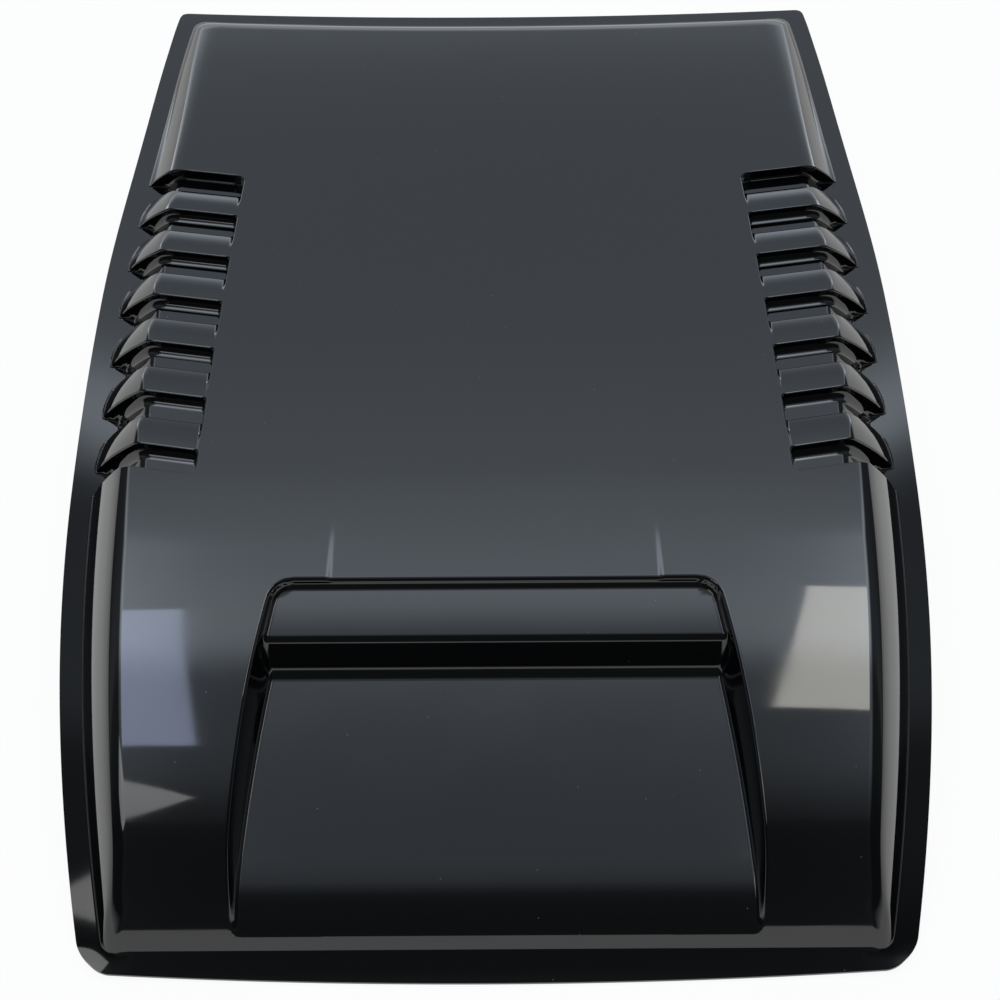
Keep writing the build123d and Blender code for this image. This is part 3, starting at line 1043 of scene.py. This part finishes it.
@dataclass(frozen=True)
class GlossSheet:
    """Gloss black sheet with faint forming waves, dust and haze."""

    colour: Colour = (0.0024, 0.0029, 0.0037, 1.0)
    dust_colour: Colour = (0.16, 0.155, 0.145, 1.0)
    ior: float = 1.6
    roughness: float = 0.035
    dust_per_metre: float = 95.0
    dust_radii: tuple[float, float] = (0.030, 0.055)
    dust_free_share: float = 0.86
    dust_roughness: float = 0.5
    haze_per_metre: float = 14.0
    haze_detail: float = 5.0
    haze_span: tuple[float, float] = (0.35, 0.7)
    haze_roughness: float = 0.03
    wave_per_metre: float = 9.0
    wave_detail: float = 1.0
    wave_strength: float = 0.25
    wave_height: float = 0.0012

    @staticmethod
    def stretch(tree: NodeTree, value: NodeSocket, source: tuple[float, float],
                target: tuple[float, float]) -> NodeSocket:
        """Map a value from one span onto another."""
        ends = {"From Min": source[0], "From Max": source[1], "To Min": target[0], "To Max": target[1]}
        return add_node(tree, "ShaderNodeMapRange", {"Value": value, **ends}).outputs["Result"]

    def material(self) -> Material:
        """Build the material.

        Returns:
            The node material.
        """
        made = bpy.data.materials.new("gloss_black_sheet")
        made.use_nodes = True
        tree = made.node_tree
        tree.nodes.clear()
        place = tree.nodes.new("ShaderNodeTexCoord").outputs["Object"]

        cells = {"Vector": place, "Scale": self.dust_per_metre, "Randomness": 1.0}
        dust = add_node(tree, "ShaderNodeTexVoronoi", cells).outputs
        speck = self.stretch(tree, dust["Distance"], self.dust_radii, (1.0, 0.0))
        chance = add_node(tree, "ShaderNodeSeparateColor", {"Color": dust["Color"]}).outputs["Red"]
        few = math_node(tree, "GREATER_THAN", chance, self.dust_free_share)
        flecks = math_node(tree, "MULTIPLY", speck, few)
        colours = {"A": self.colour, "B": self.dust_colour, "Factor": flecks}
        tint = add_node(tree, "ShaderNodeMix", colours, data_type="RGBA")

        clouds = {"Vector": place, "Scale": self.haze_per_metre, "Detail": self.haze_detail}
        haze = add_node(tree, "ShaderNodeTexNoise", clouds).outputs["Fac"]
        dull = self.stretch(tree, haze, self.haze_span, (self.roughness, self.roughness + self.haze_roughness))
        matt = math_node(tree, "MULTIPLY_ADD", flecks, self.dust_roughness, dull)

        swell = {"Vector": place, "Scale": self.wave_per_metre, "Detail": self.wave_detail}
        wave = add_node(tree, "ShaderNodeTexNoise", swell).outputs["Fac"]
        relief = {"Strength": self.wave_strength, "Distance": self.wave_height, "Height": wave}
        bump = add_node(tree, "ShaderNodeBump", relief).outputs["Normal"]
        look = {"IOR": self.ior, "Base Color": tint.outputs["Result"], "Roughness": matt, "Normal": bump}
        shader = add_node(tree, "ShaderNodeBsdfPrincipled", look)
        add_node(tree, "ShaderNodeOutputMaterial", {"Surface": shader.outputs["BSDF"]})
        return made


@dataclass(frozen=True)
class PaleFloor:
    """Plain pale studio floor, near white where it is seen or reflected."""

    size: float = 40.0
    colour: Colour = (0.86, 0.86, 0.85, 1.0)
    white_share: float = 0.88
    white_level: float = 1.06
    roughness: float = 0.85
    specular: float = 0.1
    gap: float = 0.0004

    def build(self) -> None:
        """Make the floor and give it its material."""
        half = self.size / 2
        mesh = bpy.data.meshes.new("floor")
        mesh.from_pydata([(-half, -half, 0), (half, -half, 0), (half, half, 0), (-half, half, 0)], [], [(0, 1, 2, 3)])
        floor = add_object("floor", mesh)
        floor.location.z = -self.gap
        mesh.materials.append(self.material())

    def material(self) -> Material:
        """Build the floor's material: matt, and lifted towards white for what sees it.

        Returns:
            The node material.
        """
        made = bpy.data.materials.new("pale_floor")
        made.use_nodes = True
        tree = made.node_tree
        matt, out = tree.nodes["Principled BSDF"], tree.nodes["Material Output"]
        matt.inputs["Base Color"].default_value = self.colour
        matt.inputs["Roughness"].default_value = self.roughness
        matt.inputs["Specular IOR Level"].default_value = self.specular
        path = tree.nodes.new("ShaderNodeLightPath").outputs
        seen = path["Is Camera Ray"]
        for ray in ("Is Glossy Ray", "Is Transmission Ray"):
            seen = math_node(tree, "MAXIMUM", seen, path[ray])
        share = math_node(tree, "MULTIPLY", seen, self.white_share)
        white = add_node(tree, "ShaderNodeEmission", {"Strength": self.white_level})
        parts = {"Fac": share, 1: matt.outputs["BSDF"], 2: white.outputs["Emission"]}
        mixed = add_node(tree, "ShaderNodeMixShader", parts)
        tree.links.new(mixed.outputs["Shader"], out.inputs["Surface"])
        return made


@dataclass(frozen=True)
class SoftBox:
    """Flat studio lamp, aimed at a point and turned about its own axis."""

    name: str
    place: Triple
    aim: Triple
    width: float
    height: float
    radiance: float
    colour: Triple = (1.0, 1.0, 1.0)
    turn: float = 0.0

    def build(self) -> None:
        """Make the lamp, with a power that gives its face the wanted radiance."""
        lamp = bpy.data.lights.new(self.name, "AREA")
        lamp.shape, lamp.size, lamp.size_y = "RECTANGLE", self.width, self.height
        lamp.energy = self.radiance * math.pi * self.width * self.height
        lamp.color = self.colour
        made = add_object(self.name, lamp)
        made.location = self.place
        made.rotation_euler = aimed(Vector(self.aim) - Vector(self.place), self.turn)


@dataclass(frozen=True)
class StudioSky:
    """Light of the room by direction: bright overhead and behind, dim in front and at the sides.

    The bands give the radiance at angles from straight up, in degrees, positive towards the rear.
    """

    bands: tuple[tuple[float, float], ...] = (
        (-90.0, 0.04), (-60.0, 0.03), (-30.0, 0.03), (-20.0, 0.04), (-15.0, 0.06), (-11.0, 0.21), (-7.0, 0.40),
        (0.0, 0.47), (6.0, 0.52), (8.5, 0.61), (11.0, 1.14), (13.5, 1.63), (17.0, 1.78), (24.0, 1.63), (30.0, 1.44),
        (36.0, 1.23), (42.0, 0.96), (50.0, 0.76), (60.0, 0.64), (70.0, 0.50), (77.0, 0.56), (82.0, 0.85), (86.0, 1.25),
        (90.0, 1.45),
    )
    sides: tuple[tuple[float, float], ...] = (
        (0.0, 1.0), (0.10, 1.0), (0.14, 1.1), (0.17, 1.5), (0.20, 2.1), (0.25, 2.1), (0.29, 0.6), (0.33, 0.16),
        (0.40, 0.14), (1.0, 0.14),
    )
    peak: float = 1.9
    side_peak: float = 2.1
    rear_spread: float = 1.1
    rear_start: float = 0.5
    glow_level: float = 1.1
    glow_top: float = 0.16
    glow_side: float = 0.3
    tint: Triple = (0.89, 1.0, 1.13)
    room_level: Colour = (0.04, 0.04, 0.04, 1.0)

    @staticmethod
    def ramp(tree: NodeTree, place: NodeSocket, stops: list[tuple[float, Colour]]) -> NodeSocket:
        """Add a smooth colour ramp to a tree.

        Args:
            tree: Node tree to add to.
            place: Place on the ramp.
            stops: Places from 0 to 1 with their colours.

        Returns:
            The colour at the place.
        """
        made = add_node(tree, "ShaderNodeValToRGB", {"Fac": place})
        made.color_ramp.interpolation = "B_SPLINE"
        elements = made.color_ramp.elements
        while len(elements) < len(stops):
            elements.new(0.5)
        for element, (spot, colour) in zip(elements, stops):
            element.position, element.color = spot, colour
        return made.outputs["Color"]

    def build(self) -> World:
        """Make the world.

        Returns:
            The world.
        """
        world = bpy.data.worlds.new("studio")
        world.use_nodes = True
        tree = world.node_tree
        place = tree.nodes.new("ShaderNodeTexCoord").outputs["Generated"]
        way = add_node(tree, "ShaderNodeSeparateXYZ", {"Vector": place}).outputs
        angle = math_node(tree, "ARCTAN2", way["Y"], way["Z"])
        along = math_node(tree, "MULTIPLY_ADD", angle, 1.0 / math.pi, 0.5)
        stops = [((turn + 90.0) / 180.0, (*(level / self.peak * tone for tone in self.tint), 1.0))
                 for turn, level in self.bands]
        colour = self.ramp(tree, along, stops)
        aside = math_node(tree, "ABSOLUTE", way["X"])
        behind = math_node(tree, "MAXIMUM", math_node(tree, "SUBTRACT", way["Y"], self.rear_start), 0.0)
        spread = math_node(tree, "MULTIPLY_ADD", behind, -self.rear_spread, aside)
        share = self.ramp(tree, spread, [(reach, (part / self.side_peak,) * 3 + (1.0,)) for reach, part in self.sides])
        strength = math_node(tree, "MULTIPLY", share, self.peak * self.side_peak)

        low = math_node(tree, "MULTIPLY_ADD", way["Z"], -1.0 / self.glow_top, 1.0)
        wide = math_node(tree, "MULTIPLY_ADD", aside, 1.0 / self.glow_side, -1.0)
        low, wide = (math_node(tree, "MINIMUM", math_node(tree, "MAXIMUM", part, 0.0), 1.0) for part in (low, wide))
        glow = math_node(tree, "MULTIPLY", math_node(tree, "MULTIPLY", low, wide), self.glow_level)

        sky = tree.nodes["Background"]
        tree.links.new(colour, sky.inputs["Color"])
        tree.links.new(strength, sky.inputs["Strength"])
        total = sky.outputs["Background"]
        for light in ({"Color": self.room_level}, {"Color": (1.0, 1.0, 1.0, 1.0), "Strength": glow}):
            more = add_node(tree, "ShaderNodeBackground", light).outputs["Background"]
            total = add_node(tree, "ShaderNodeAddShader", {0: total, 1: more}).outputs["Shader"]
        tree.links.new(total, tree.nodes["World Output"].inputs["Surface"])
        return world


@dataclass(frozen=True)
class Studio:
    """World, lamps and camera."""

    sky: StudioSky = field(default_factory=StudioSky)
    lamps: tuple[SoftBox, ...] = (
        SoftBox("left_strip", (-0.655, 0.0, 2.3), (-0.655, 0.0, 0.0), 0.19, 1.0, 3.6, (0.61, 0.70, 1.0), 3.0),
        SoftBox("right_strip", (0.640, 0.2, 2.3), (0.640, 0.2, 0.0), 0.19, 0.95, 4.9, (1.0, 0.98, 0.90), -6.0),
        SoftBox("left_wedge", (-0.97, -0.85, 2.3), (-0.97, -0.85, 0.0), 0.6, 0.6, 2.2, (1.0, 1.0, 1.0), 45.0),
    )
    aim: Triple = (0.0, -0.109, 0.040)
    elevation: float = 56.0
    distance: float = 1.8
    roll: float = 0.35
    lens: float = 76.0
    sensor: float = 36.0
    shift: float = 0.0055
    clip_end: float = 80.0

    def build(self) -> None:
        """Light the scene and set its camera."""
        scene = bpy.context.scene
        scene.view_settings.view_transform = "Standard"
        scene.world = self.sky.build()
        for lamp in self.lamps:
            lamp.build()
        data = bpy.data.cameras.new("camera")
        data.lens, data.sensor_width, data.shift_x = self.lens, self.sensor, self.shift
        data.clip_end = self.clip_end
        camera = add_object("camera", data)
        tilt = math.radians(self.elevation)
        back = Vector((0.0, -math.cos(tilt), math.sin(tilt)))
        camera.location = Vector(self.aim) + back * self.distance
        camera.rotation_euler = aimed(-back, -self.roll)
        scene.camera = camera


def write_size() -> None:
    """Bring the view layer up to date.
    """
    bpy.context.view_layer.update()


def main() -> None:
    """Build the scoop and its studio."""
    logging.basicConfig(level=logging.INFO, format="%(name)s: %(message)s")
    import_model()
    sheet = SheetSkin().build(GlossSheet())
    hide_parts("scoop_moulding")
    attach(sheet, "root")
    LOG.info("scoop_sheet: %d faces", len(sheet.data.polygons))
    PaleFloor().build()
    Studio().build()
    write_size()


if __name__ == "__main__":
    main()
